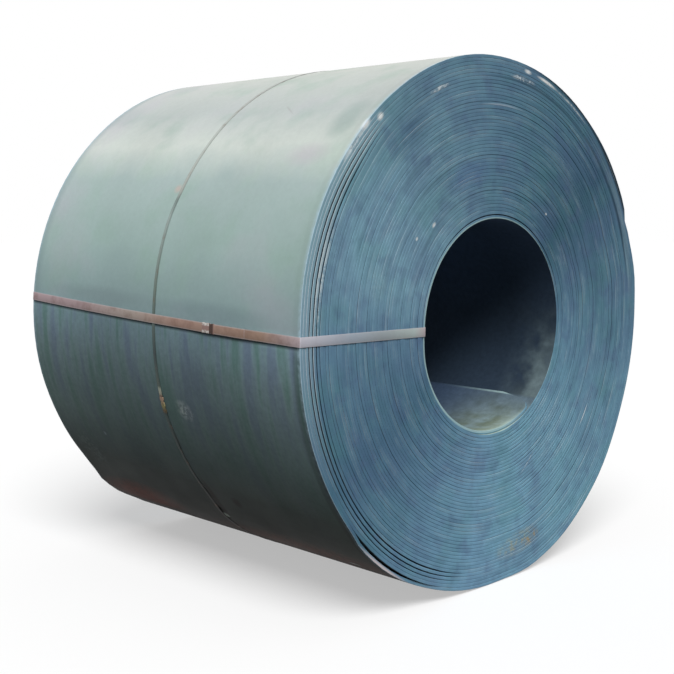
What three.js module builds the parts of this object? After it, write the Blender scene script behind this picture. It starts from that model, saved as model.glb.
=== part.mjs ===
// Coil of heavy hot-rolled steel strip, lying on its barrel, with one strap through the eye and one round the girth.
// Millimetres, +Z up. The coil's axis is parallel to X, and the origin is on the floor under its middle.
import * as THREE from "three";

// ---- driving dimensions ----
const boreRadius = 381; // hot-mill mandrel, 762 mm across
const stripThickness = 12;
const stripWidth = 1550;
const tightLaps = 43;
const looseLaps = 4; // the outermost wraps have sprung open a little
const looseLapGap = 4; // air between those wraps
const lapsPerRidge = 4; // the tight laps show as ridges on the ends, one for about this many laps
const lapGrooveWidth = 5;
const lapGrooveDepth = 4;
const looseGapDepth = 30; // how far the open gaps between the loose wraps reach in
const millEdgeChamfer = 3;
const facets = 64; // flats round the coil, one of them straight below the axis

const fitClearance = 0.3; // between pieces that touch

const eyeStrapWidth = 32;
const eyeStrapThickness = 0.9;
const eyeStrapBend = 3; // inside radius of the strap's sharp bends at the strip's edges
const eyeStrapNearAngle = 1; // degrees above the horizontal through the axis, at the +X end
const eyeStrapFarAngle = 4.7; // and at the -X end
const eyeStrapSag = 6; // how far the middle of the outer run hangs below a straight line
const eyeStrapBow = 5; // how far its slack part stands off the barrel
const eyeStrapBowAt = 450;
const eyeStrapBowReach = 320;
const eyeStrapTailEnd = 520; // where the overlapping end stops, along X
const eyeSealAt = 337; // middle of the seal, along X
const eyeSealLength = 62;

const girthStrapWidth = 19;
const girthStrapThickness = 0.9;
const girthStrapAt = 28; // along X
const girthSealFacet = -3; // the flat that the seal lies on, counted up from the horizontal on the -Y side
const girthSealAbove = 12; // how far the seal's middle is above the middle of its flat
const girthSealLength = 62;
const girthTailFacets = 1; // how many flats the overlapping end runs past the seal's flat

const sealThickness = 0.9;
const sealLipShare = 0.3; // each folded edge reaches in under this much of the strap's width

// ---- derived sizes ----
const ridges = Math.ceil(tightLaps / lapsPerRidge);
const ridgePitch = (tightLaps * stripThickness) / ridges;
const looseLapPitch = stripThickness + looseLapGap;
const tightRadius = boreRadius + tightLaps * stripThickness;
const outerRadius = tightRadius + looseLaps * looseLapPitch;
const halfWidth = stripWidth / 2;
const facetAngle = 360 / facets; // degrees
const halfFacetCosine = Math.cos(Math.PI / facets);
const axisHeight = (outerRadius + fitClearance + girthStrapThickness) * halfFacetCosine;

const radians = THREE.MathUtils.degToRad;

const millScale = new THREE.MeshStandardMaterial({ color: 0x6f8085, roughness: 0.55, metalness: 0.6 });
const rustyStrap = new THREE.MeshStandardMaterial({ color: 0x9a7c74, roughness: 0.75, metalness: 0.3 });
const darkStrap = new THREE.MeshStandardMaterial({ color: 0x41484a, roughness: 0.6, metalness: 0.5 });
const sealSteel = new THREE.MeshStandardMaterial({ color: 0x8a7350, roughness: 0.7, metalness: 0.4 });

// ---- the coil: one turned solid ----

// Half a profile, from the bore out to the barrel, as [radius, distance from the middle of the strip's width].
function endProfile() {
  const points = [
    [boreRadius, halfWidth - millEdgeChamfer],
    [boreRadius + millEdgeChamfer, halfWidth],
  ];
  const groove = (radius, width, depth) => {
    points.push([radius - width / 2, halfWidth], [radius, halfWidth - depth], [radius + width / 2, halfWidth]);
  };
  for (let i = 1; i <= ridges; i++) {
    const last = i === ridges;
    groove(boreRadius + i * ridgePitch, last ? looseLapGap : lapGrooveWidth, last ? looseGapDepth : lapGrooveDepth);
  }
  for (let i = 1; i < looseLaps; i++) {
    groove(tightRadius + i * looseLapPitch, looseLapGap, looseGapDepth);
  }
  points.push([outerRadius - millEdgeChamfer, halfWidth], [outerRadius, halfWidth - millEdgeChamfer]);
  return points;
}

function coil() {
  const far = endProfile().map(([radius, along]) => new THREE.Vector2(radius, -along));
  const near = endProfile().reverse().map(([radius, along]) => new THREE.Vector2(radius, along));
  // the barrel's flats are parted beside the girth strap, so that those on either side of it lie bare
  const barrel = [-girthStrapWidth, girthStrapWidth].map((side) => new THREE.Vector2(outerRadius, girthStrapAt + side));
  const profile = [...far, ...barrel, ...near, far[0].clone()];
  // the first seam is half a facet off, so that a flat faces straight down
  const geometry = new THREE.LatheGeometry(profile, facets, radians(facetAngle / 2), 2 * Math.PI);
  const mesh = new THREE.Mesh(geometry, millScale);
  mesh.name = "coil";
  mesh.rotation.z = -Math.PI / 2; // the turned axis from Y to X
  return mesh;
}

// ---- straps and seals: a flat section carried along a path ----

// A place on the path. angle is in degrees above the horizontal on the -Y side, and lean turns the
// section's outward direction from the radius (0) towards +X (90) or -X (-90).
function station(along, radius, angle, lean = 0) {
  const radial = new THREE.Vector3(0, -Math.cos(radians(angle)), Math.sin(radians(angle)));
  const out = radial.clone().multiplyScalar(Math.cos(radians(lean)));
  out.x += Math.sin(radians(lean));
  return {
    centre: new THREE.Vector3(along, radial.y * radius, radial.z * radius),
    out,
    radial,
  };
}

// A closed solid: the section's [across, out] points at each station, with capped ends.
function sweep(stations, section, acrossOf) {
  const positions = [];
  for (const place of stations) {
    const across = acrossOf(place);
    for (const [u, v] of section) {
      const point = place.centre.clone().addScaledVector(across, u).addScaledVector(place.out, v);
      positions.push(point.x, point.y, point.z);
    }
  }
  const count = section.length;
  const triangles = [];
  for (let s = 0; s + 1 < stations.length; s++) {
    for (let i = 0; i < count; i++) {
      const a = s * count + i;
      const b = s * count + ((i + 1) % count);
      triangles.push([a, b, a + count], [b, b + count, a + count]);
    }
  }
  const outline = section.map(([u, v]) => new THREE.Vector2(u, v));
  const lastRing = (stations.length - 1) * count;
  for (const [a, b, c] of THREE.ShapeUtils.triangulateShape(outline, [])) {
    triangles.push([c, b, a], [lastRing + a, lastRing + b, lastRing + c]);
  }
  const corner = (i) => new THREE.Vector3().fromArray(positions, 3 * i);
  const volume = triangles.reduce((sum, [a, b, c]) => sum + corner(a).dot(corner(b).cross(corner(c))), 0);
  const geometry = new THREE.BufferGeometry();
  geometry.setAttribute("position", new THREE.Float32BufferAttribute(positions, 3));
  geometry.setIndex((volume < 0 ? triangles.map(([a, b, c]) => [a, c, b]) : triangles).flat());
  geometry.computeVertexNormals();
  return geometry;
}

// A strap along X or a radius is as wide as the turn round the axis; one round the girth is as wide as X.
const acrossTheEyeStrap = (place) => new THREE.Vector3(0, place.radial.z, -place.radial.y);
const acrossTheGirthStrap = () => new THREE.Vector3(1, 0, 0);

const flatSection = (width, thickness) => [
  [-width / 2, -thickness / 2],
  [width / 2, -thickness / 2],
  [width / 2, thickness / 2],
  [-width / 2, thickness / 2],
];

// A crimped seal: a flat sleeve round two layers of strap, with its folded edges on the coil's side.
// v is measured from the middle of the lower layer.
function sealSection(strapWidth, strapThickness) {
  const inner = strapWidth / 2 + fitClearance;
  const outer = inner + sealThickness;
  const below = -strapThickness / 2 - fitClearance;
  const above = (3 * strapThickness) / 2 + 2 * fitClearance;
  const lipEnd = inner - sealLipShare * strapWidth;
  return [
    [lipEnd, below - sealThickness],
    [outer, below - sealThickness],
    [outer, above + sealThickness],
    [-outer, above + sealThickness],
    [-outer, below - sealThickness],
    [-lipEnd, below - sealThickness],
    [-lipEnd, below],
    [-inner, below],
    [-inner, above],
    [inner, above],
    [inner, below],
    [lipEnd, below],
  ];
}

// ---- eye strap ----

const eyeStrapLayerStep = eyeStrapThickness + fitClearance;
const eyeStrapMiddle = fitClearance + eyeStrapThickness / 2; // from the steel to the middle of the strap
const eyeBendMiddle = eyeStrapBend + eyeStrapThickness / 2;
// In the bore the flat strap bears on its two edges.
const boreRunRadius =
  Math.sqrt((boreRadius * halfFacetCosine - fitClearance) ** 2 - (eyeStrapWidth / 2) ** 2) - eyeStrapThickness / 2;

// Height of the strap's underside over the barrel: it rides over the girth strap and bows out where it is slack.
function eyeStrapStandOff(along) {
  const overGirthStrap = fitClearance + girthStrapThickness + fitClearance;
  const edge = along > girthStrapAt ? halfWidth : -halfWidth;
  const share = (along - girthStrapAt) / (edge - girthStrapAt);
  const reach = (along - eyeStrapBowAt) / eyeStrapBowReach;
  const bow = Math.abs(reach) < 1 ? eyeStrapBow * (1 - reach * reach) ** 2 : 0;
  return THREE.MathUtils.lerp(overGirthStrap, fitClearance, share) + bow;
}

function eyeStrapAngle(along) {
  const share = (along + halfWidth) / stripWidth; // 0 at the far end, 1 at the near end
  const sag = THREE.MathUtils.radToDeg(eyeStrapSag / outerRadius) * 4 * share * (1 - share);
  return THREE.MathUtils.lerp(eyeStrapFarAngle, eyeStrapNearAngle, share) - sag;
}

function outerRun(from, to, steps, layer) {
  const places = [];
  for (let i = 0; i <= steps; i++) {
    const along = THREE.MathUtils.lerp(from, to, i / steps);
    const radius = outerRadius + eyeStrapStandOff(along) + eyeStrapThickness / 2 + layer * eyeStrapLayerStep;
    places.push(station(along, radius, eyeStrapAngle(along)));
  }
  return places;
}

// The bends at one end of the coil, from the barrel to the bore. side is 1 at +X and -1 at -X.
function endRun(side, angle) {
  const bendAlong = side * (halfWidth + eyeStrapMiddle - eyeBendMiddle);
  const barrelBend = outerRadius + eyeStrapMiddle - eyeBendMiddle;
  const boreBend = boreRunRadius + eyeBendMiddle;
  const places = [];
  const bend = (radius, turns) => {
    for (const turn of turns) {
      places.push(
        station(
          bendAlong + side * eyeBendMiddle * Math.sin(radians(turn)),
          radius + eyeBendMiddle * Math.cos(radians(turn)),
          angle,
          side * turn,
        ),
      );
    }
  };
  bend(barrelBend, [0, 30, 60, 90]);
  bend(boreBend, [90, 120, 150, 180]);
  return places;
}

function eyeStrap() {
  const bendStart = halfWidth + eyeStrapMiddle - eyeBendMiddle;
  const underEnd = eyeSealAt - eyeSealLength / 2 + stripThickness;
  const overlapStart = eyeSealAt - eyeSealLength;
  const underLayer = outerRun(underEnd, bendStart, 10, 0).slice(0, -1);
  const nearEnd = endRun(1, eyeStrapNearAngle);
  const farEnd = endRun(-1, eyeStrapFarAngle).reverse();
  const singleLayer = outerRun(-bendStart, overlapStart - eyeSealLength, 12, 0).slice(1);
  const upperLayer = outerRun(overlapStart, eyeStrapTailEnd, 8, 1);
  const path = [...underLayer, ...nearEnd, ...farEnd, ...singleLayer, ...upperLayer];
  const mesh = new THREE.Mesh(
    sweep(path, flatSection(eyeStrapWidth, eyeStrapThickness), acrossTheEyeStrap),
    rustyStrap,
  );
  mesh.name = "eye_strap";
  return mesh;
}

function eyeStrapSeal() {
  const path = outerRun(eyeSealAt - eyeSealLength / 2, eyeSealAt + eyeSealLength / 2, 2, 0);
  const mesh = new THREE.Mesh(
    sweep(path, sealSection(eyeStrapWidth, eyeStrapThickness), acrossTheEyeStrap),
    sealSteel,
  );
  mesh.name = "eye_strap_seal";
  return mesh;
}

// ---- girth strap ----

const girthLayerStep = girthStrapThickness + fitClearance;
const girthSealLift = sealThickness + fitClearance; // room for the seal's folded edges under the strap
const girthRadius = outerRadius + fitClearance + girthStrapThickness / 2;

// The corner between two flats, counted up from the first one above the horizontal on the -Y side.
const girthCorner = (corner, lift) => station(girthStrapAt, girthRadius + lift, (corner + 0.5) * facetAngle);

// A place on the seal's flat, at a distance up or down from the seal's middle. lift is the strap's height there.
function onSealFlat(up, lift) {
  const angle = girthSealFacet * facetAngle;
  const place = station(girthStrapAt, (girthRadius + lift) * halfFacetCosine, angle);
  const upwards = new THREE.Vector3(0, place.radial.z, -place.radial.y);
  place.centre.addScaledVector(upwards, girthSealAbove + up);
  return place;
}

// From inside the seal down under the coil, up behind it, over the top, and down through the seal again.
function girthStrap() {
  const above = girthSealFacet;
  const below = girthSealFacet - 1;
  const path = [onSealFlat(girthSealLength / 4, girthSealLift), girthCorner(below, girthSealLift)];
  for (let corner = below - 1; corner > above - facets; corner--) {
    path.push(girthCorner(corner, 0));
  }
  for (let corner = above; corner >= below; corner--) {
    path.push(girthCorner(corner, girthSealLift + girthLayerStep));
  }
  for (let i = 1; i <= girthTailFacets; i++) {
    path.push(girthCorner(below - i, girthLayerStep));
  }
  const mesh = new THREE.Mesh(
    sweep(path, flatSection(girthStrapWidth, girthStrapThickness), acrossTheGirthStrap),
    darkStrap,
  );
  mesh.name = "girth_strap";
  return mesh;
}

function girthStrapSeal() {
  const path = [onSealFlat(-girthSealLength / 2, girthSealLift), onSealFlat(girthSealLength / 2, girthSealLift)];
  const mesh = new THREE.Mesh(
    sweep(path, sealSection(girthStrapWidth, girthStrapThickness), acrossTheGirthStrap),
    sealSteel,
  );
  mesh.name = "girth_strap_seal";
  return mesh;
}

const model = new THREE.Group();
model.name = "steel_coil";
model.position.z = axisHeight;
model.add(coil(), eyeStrap(), eyeStrapSeal(), girthStrap(), girthStrapSeal());

export default model;
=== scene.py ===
# A coil of heavy hot-rolled steel strip lying on its barrel, closed by two steel straps and their seals.
# Metres, in the frame of the CAD model: the coil's axis is parallel to X and +Z is up.
# Angles are degrees round the axis: 0 on the -Y side, 90 on top, 180 on the +Y side.
import math
from functools import partial

import bpy
import numpy as np
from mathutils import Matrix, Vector


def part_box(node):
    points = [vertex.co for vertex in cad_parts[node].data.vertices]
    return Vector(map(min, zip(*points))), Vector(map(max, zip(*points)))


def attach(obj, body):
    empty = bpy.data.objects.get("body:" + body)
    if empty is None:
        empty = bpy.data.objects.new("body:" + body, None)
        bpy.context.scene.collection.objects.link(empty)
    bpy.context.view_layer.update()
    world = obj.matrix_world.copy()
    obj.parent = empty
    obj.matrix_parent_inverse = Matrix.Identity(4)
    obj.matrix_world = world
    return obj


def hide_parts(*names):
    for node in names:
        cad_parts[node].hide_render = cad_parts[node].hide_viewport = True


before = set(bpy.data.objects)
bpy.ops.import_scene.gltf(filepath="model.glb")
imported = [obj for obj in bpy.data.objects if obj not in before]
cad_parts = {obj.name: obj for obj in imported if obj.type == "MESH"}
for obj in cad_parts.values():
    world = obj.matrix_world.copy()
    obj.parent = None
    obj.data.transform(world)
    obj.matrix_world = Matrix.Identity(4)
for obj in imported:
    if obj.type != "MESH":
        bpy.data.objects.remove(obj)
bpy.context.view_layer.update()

mm = 0.001
coilLow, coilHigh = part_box("coil")
axisHeight = (coilLow.z + coilHigh.z) / 2
barrelRadius = (coilHigh.z - coilLow.z) / 2
halfWidth = coilHigh.x
chance = np.random.default_rng(7)


def startClean():
    if bpy.context.mode != "OBJECT":
        bpy.ops.object.mode_set(mode="OBJECT")
    bpy.ops.object.select_all(action="DESELECT")


def applyModifier(piece, kind, **settings):
    modifier = piece.modifiers.new(kind.title(), kind)
    for name, value in settings.items():
        setattr(modifier, name, value)
    bpy.ops.object.modifier_apply(modifier=modifier.name)


def roundCorners(piece, width):
    limit = {"limit_method": "ANGLE", "angle_limit": math.radians(50)}
    applyModifier(piece, "BEVEL", width=width, segments=2, **limit)


# A flat grid with rows along a path and columns across it, its points then placed by placeOf(row, column),
# which takes and gives arrays. side turns the grid's faces to the side that becomes the outside.
def layBand(name, rows, columns, placeOf, side=1):
    startClean()
    bpy.ops.mesh.primitive_grid_add(x_subdivisions=rows - 1, y_subdivisions=columns - 1, size=1)
    piece = bpy.context.object
    piece.name = name
    piece.data.name = name
    points = np.empty(len(piece.data.vertices) * 3)
    piece.data.vertices.foreach_get("co", points)
    points = points.reshape(-1, 3)
    row = np.rint((points[:, 0] + 0.5) * (rows - 1)).astype(int)
    column = np.rint((points[:, 1] * side + 0.5) * (columns - 1)).astype(int)
    piece.data.vertices.foreach_set("co", placeOf(row, column).ravel())
    piece.data.update()
    return piece


def onCoil(along, radius, angle):
    turn = np.radians(angle)
    return np.stack([along, -radius * np.cos(turn), axisHeight + radius * np.sin(turn)], axis=-1)


def smooth(share):
    share = np.clip(share, 0, 1)
    return share * share * (3 - 2 * share)


# Even noise between -1 and 1 along a line, one knot per unit, the same on each run.
def wander(position, knots):
    whole = np.floor(position).astype(int)
    share = smooth(position - whole)
    return knots[whole % len(knots)] * (1 - share) + knots[(whole + 1) % len(knots)] * share


def colour(code):
    channels = [int(code[i:i + 2], 16) / 255 for i in (1, 3, 5)]
    return [*(c / 12.92 if c <= 0.04045 else ((c + 0.055) / 1.055) ** 2.4 for c in channels), 1]


# Adds a node with its settings. Its inputs are given by name or number, or as a list in the node's order,
# which for MapRange is value, from min, from max, to min, to max. Each is a value, a colour code, or another
# node's output to link; a node stands for its first output.
def addNode(owner, kind, inputs=(), **settings):
    node = owner.node_tree.nodes.new("ShaderNode" + kind)
    for name, value in settings.items():
        setattr(node, name, value)
    for socket, value in inputs.items() if isinstance(inputs, dict) else enumerate(inputs):
        if isinstance(value, bpy.types.Node):
            value = value.outputs[2] if value.bl_idname == "ShaderNodeMix" else value.outputs[0]
        if isinstance(value, bpy.types.NodeSocket):
            owner.node_tree.links.new(value, node.inputs[socket])
        else:
            node.inputs[socket].default_value = colour(value) if isinstance(value, str) else value
    return node


# An empty material, and the function that adds nodes to it.
def newMaterial(name):
    material = bpy.data.materials.new(name)
    material.use_nodes = True
    material.node_tree.nodes.clear()
    return material, partial(addNode, material)


def giveMaterial(piece, material):
    piece.data.materials.clear()
    piece.data.materials.append(material)


strip = {
    "boreRadius": 381 * mm,
    "thickness": 11.8 * mm,
    "tightPitch": 11.97 * mm,
    "innerEnd": 228,  # angle of the end that lies in the eye
    "tail": 160,  # angle of the outer end, which the strap round the coil holds down behind
    "laps": 46,  # counted to the inner end's own angle, which the outer end stops short of
    "tailStep": 14,  # degrees over which the wrap under the tail comes up to full radius
    "stepsPerLap": 120,
    "spreadFrom": (278, 296),  # where three gaps begin between the outer wraps
    "gapsFrom": (324, 342),  # where they open wider
    "gapsTo": (396, 412),  # and where they close up, one lap on
    "evenShares": [1],  # how much of the slack lies under each wrap, from outside
    "spreadShares": [1, 0.995, 0.985, 0.91, 0.785, 0.7],
    "gapsShares": [1, 0.99, 0.98, 0.85, 0.68, 0.57],
    "cornerLength": 75 * mm,  # the ends' rounded corners, along the strip
    "cornerWidth": 150 * mm,  # and across it
    "edgeWander": 1.1 * mm,  # how far the laps' edges stand in and out
    "edgeRounding": 1.6 * mm,
    "edgeKnots": 997,
    "knotSpacing": 1.7,  # metres of strip from one to the next
    "innerLapSetback": 8 * mm,
    "innerSetbackLaps": (0, 0.12, 0.3, 0.38),  # where it begins, is full, fades and is over
    "innerLapSpring": 3.5 * mm,
    # angle and mm by which the coil has settled out of round at each end
    "nearBulge": [
        (160, 0), (169, 5), (179, 0), (203, 0), (226, 16), (243, 21), (253, 18), (268, 0), (280, 0),
        (300, 1), (316, 2), (331, 1), (345, 2.5), (364, 1.5), (375, 8), (386, 10), (405, 4), (420, 0),
        (436, 0), (458, -6), (484, -6), (500, -1), (512, -2), (516, -8), (520, 0),
    ],
    "farBulge": [
        (160, 0), (169, 5), (179, 0), (203, 0), (226, 16), (243, 21), (253, 18), (268, 0), (282, -8),
        (318, -8), (332, -6), (352, 0), (376, 0), (402, 3), (425, 5), (440, 3), (456, 0), (520, 0),
    ],
    # angle and mm by which the outermost wrap alone stands off the others, and lies back from the end
    "nearStandOff": [(290, 0), (296, 2), (300, 6), (306, 7.5), (314, 7), (320, 0)],
    "farStandOff": [(293, 0), (300, 4), (308, 16), (312, 17), (318, 3), (322, 0)],
    "outerSetback": [(284, 0), (296, 7), (316, 7), (321, 0)],
    "dirt": 0.5 * mm,  # how much packed dirt and scale thicken a lap where the joints are filled
    "joint": 0.12 * mm,  # the fine line that stays open all the same
    "dirtThins": (0.9 * mm, 1.4 * mm),  # a wider joint than this holds less dirt, and then none
}
strip["turns"] = strip["laps"] + (strip["tail"] - strip["innerEnd"]) / 360


# Follows a list of angles and mm smoothly, for angles counted on from the tail.
def followKnots(knots, angle):
    angle = strip["tail"] + (angle - strip["tail"]) % 360
    out = 0
    for (start, low), (end, high) in zip(knots, knots[1:]):
        step = low + (high - low) * smooth((angle - start) / (end - start))
        out = np.where(angle >= start, step, out)
    return out * mm


# How far out of round the coil is at an angle, at the near end (+X) or the far one.
def bulge(angle, near):
    return followKnots(strip["nearBulge" if near else "farBulge"], angle)


def standOff(angle, near):
    return followKnots(strip["nearStandOff" if near else "farStandOff"], angle)


# Radius of the strip's inner face at a number of laps from its inner end.
def windingRadius(lap, near):
    lap = np.minimum(lap, strip["turns"] - 1e-6)
    angle = strip["innerEnd"] + 360 * lap
    fromTail = strip["tail"] + (angle - strip["tail"]) % 360
    outermost = strip["turns"] - 1 + (fromTail - strip["tail"]) / 360
    depth = np.rint(outermost - lap).astype(int)
    step = strip["tightPitch"] * (1 - smooth((fromTail - strip["tail"]) / strip["tailStep"]))
    outermostRadius = barrelRadius - strip["thickness"] - step + bulge(angle, near)
    slack = outermostRadius - strip["boreRadius"] - strip["tightPitch"] * outermost
    evenly = np.minimum(1, lap / (strip["turns"] - 1))

    def placed(shares):
        under = np.array(shares)[np.clip(depth, 0, len(shares) - 1)]
        return np.where(depth < len(shares) - 1, under, under * evenly)

    place = placed(strip["evenShares"])
    stages = (("spreadFrom", "spreadShares"), ("gapsFrom", "gapsShares"), ("gapsTo", "evenShares"))
    for stage, shares in stages:
        start, end = strip[stage]
        place = place + (placed(strip[shares]) - place) * smooth((fromTail - start) / (end - start))
    spring = strip["innerLapSpring"] * np.where(lap < 1, np.sin(np.pi * np.clip(lap, 0, 1)) ** 2, 0)
    off = np.where(depth == 0, standOff(angle, near), 0)
    return strip["boreRadius"] + strip["tightPitch"] * lap + slack * place - spring + off


# How far the strip's edge lies back from the coil's end, at the near end (+X) or the far one.
def edgeSetback(lap, near, knots):
    metres = lap * 2 * np.pi * (strip["boreRadius"] + barrelRadius) / 2
    back = strip["edgeWander"] * (1 + wander(metres / strip["knotSpacing"], knots))
    turns = strip["turns"]
    fromEnd = 2 * np.pi * np.minimum(lap * strip["boreRadius"], (turns - lap) * barrelRadius)
    share = np.clip(1 - fromEnd / strip["cornerLength"], 0, 1)
    back = back + strip["cornerWidth"] * (1 - np.sqrt(1 - share ** 2))
    if near:
        outermost = followKnots(strip["outerSetback"], strip["innerEnd"] + 360 * lap)
        back = back + np.where(lap > turns - 1, outermost, 0)
        start, full, fading, over = strip["innerSetbackLaps"]
        inner = smooth((lap - start) / (full - start)) * (1 - smooth((lap - fading) / (over - fading)))
        back = back + strip["innerLapSetback"] * inner
    return back


def makeStrip():
    rows = int(strip["turns"] * strip["stepsPerLap"]) + 1
    nearKnots = chance.uniform(-1, 1, strip["edgeKnots"])
    farKnots = chance.uniform(-1, 1, strip["edgeKnots"])

    def placeOf(row, column):
        lap = strip["turns"] * row / (rows - 1)
        near = halfWidth - edgeSetback(lap, True, nearKnots)
        far = -halfWidth + edgeSetback(lap, False, farKnots)
        radius = np.where(column == 1, windingRadius(lap, True), windingRadius(lap, False))
        return onCoil(np.where(column == 1, near, far), radius, strip["innerEnd"] + 360 * lap)

    piece = layBand("coiledStrip", rows, 2, placeOf, -1)
    # a lap that lies close under the next one is thicker by the dirt packed between them
    lap = strip["turns"] * np.arange(rows) / (rows - 1)
    fullest = strip["thickness"] + strip["dirt"]
    group = piece.vertex_groups.new(name="fullness")
    for first, near in ((0, True), (rows, False)):
        room = windingRadius(lap + 1, near) - windingRadius(lap, near) - strip["thickness"]
        room = np.where(lap < strip["turns"] - 1, room, 0)
        thinning, gone = strip["dirtThins"]
        packed = np.clip(room - strip["joint"], 0, strip["dirt"])
        packed = packed * (1 - smooth((room - thinning) / (gone - thinning)))
        for row in range(rows):
            group.add([first + row], float(strip["thickness"] + packed[row]) / fullest, "REPLACE")
    walls = {"thickness": fullest, "vertex_group": "fullness"}
    applyModifier(piece, "SOLIDIFY", offset=1, use_even_offset=True, **walls)
    piece.vertex_groups.clear()
    roundCorners(piece, strip["edgeRounding"])
    bpy.ops.object.shade_smooth()
    applyModifier(piece, "WEIGHTED_NORMAL", mode="FACE_AREA", weight=100, keep_sharp=False)
    print("strip wound,", len(piece.data.polygons), "faces")
    return piece


coiledStrip = makeStrip()

scale = {
    "barrel": [  # by how far the barrel faces up, in degrees from the line of the eye strap: dust with painted light, lighter up top and darker below
        (-60, "#201a18"), (-40, "#28302e"), (-25, "#5a6c6c"),  # shade and rust, up to the bare scale
        (-10, "#687c80"), (-2, "#748c94"),
        (2, "#96aeb0"), (15, "#a4bcb8"), (30, "#acbebc"),  # a film of dust from the strap upwards, made lighter by painted light from above
        (39, "#ced6d0"), (50, "#bac2c0"), (75, "#cacec8"),  # a painted highlight band, then warmer
    ],
    "face": [  # by angle round the axis, for the wound edges catch the light by turns
        (-180, "#668ca4"), (-120, "#80b0c6"), (-80, "#7eaac6"), (-30, "#50748c"), (0, "#688ca4"),
        (18, "#86b0c4"), (60, "#749aae"), (95, "#648ca2"), (140, "#44647c"), (180, "#668ca4"),
    ],
    "facePale": "#9dbcc7",
    "faceDeep": "#27465c",
    "faceViolet": "#56648c",
    "faceGreen": "#4f8a86",
    "dustGreen": "#93b5a5",
    "dustViolet": "#b3a9b9",
    "bore": "#42536a",
    "boreWall": "#303d4c",
    "boreDustAndLight": "#84989a",
    "boreOlive": "#6f7d70",
    "boreMouth": "#74868a",
    "boreSill": "#a9b8a6",
    "boreLip": "#b4d3d2",
    "rimEdge": "#b5d2e2",
    "wornEdge": "#dfe9ee",
    "streakLength": 900 * mm,
    "streakWidth": 30 * mm,
    "stainLength": 300 * mm,
    "stainWidth": 55 * mm,
    "lapPatch": 320 * mm,  # how long one tone lasts along a lap's edge
    "broadPatch": 454.5 * mm,  # how large the areas of one tone are, from the broadest to the finest
    "blotch": 166.67 * mm,
    "patch": 66.67 * mm,
    "speck": 18.18 * mm,
    "grit": 3 * mm,  # coarser than real mill scale, so that it shows
    "gritHeight": 0.3 * mm,
    "streaksShift": 0.8,  # degrees by which streaks, blotches and wash shift the barrel's tones
    "blotchesShift": 9,
    "washShift": 60,
    "betweenWraps": "#2a3844",
    "strapLine": (2.49, -2.39, 0.6),  # the eye strap's angle: amid the coil, per metre and squared
    # painted shadow under the eye strap
    "strapShade": "#12191c",
    "nearBand": "#404a48",  # multiplies the barrel's colour beside its near edge
    "greenStain": "#d9eadc",
    "violetStain": "#eae4f6",
    "farEdge": "#7f979b",
    "filledSide": (0, 0.64, 0.77),  # which way out the joints are filled most
    # where tones begin and are full: in mm from the axis,
    "boreWithin": (410, 400),
    "innermostWithin": (391.5, 389),
    "looseWrapsFrom": (900, 904),
    "outerWrapFrom": (945.5, 946.5),
    "outerCornerFrom": (955, 959),
    # in mm across it, towards the back,
    "backFrom": (-300, 300),
    # in mm along it,
    "nearLighter": (300, 760),
    "farLighter": (-250, -600),
    "farBare": (-720, -770),
    "nearDarker": (734, 746),
    "mouthFrom": (300, 740),
    "farWallFrom": (550, 770),
    "paintedLightDeeper": (560, 250),
    "mouthDustAndLightFrom": (690, 730),
    # and in mm from the edges and the ends of the strip
    "burrWithin": (16, 4),
    "lipWithin": (18, 4),
    "sillWithin": (75, 8),
    "endWithin": (12, 6),
}

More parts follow.
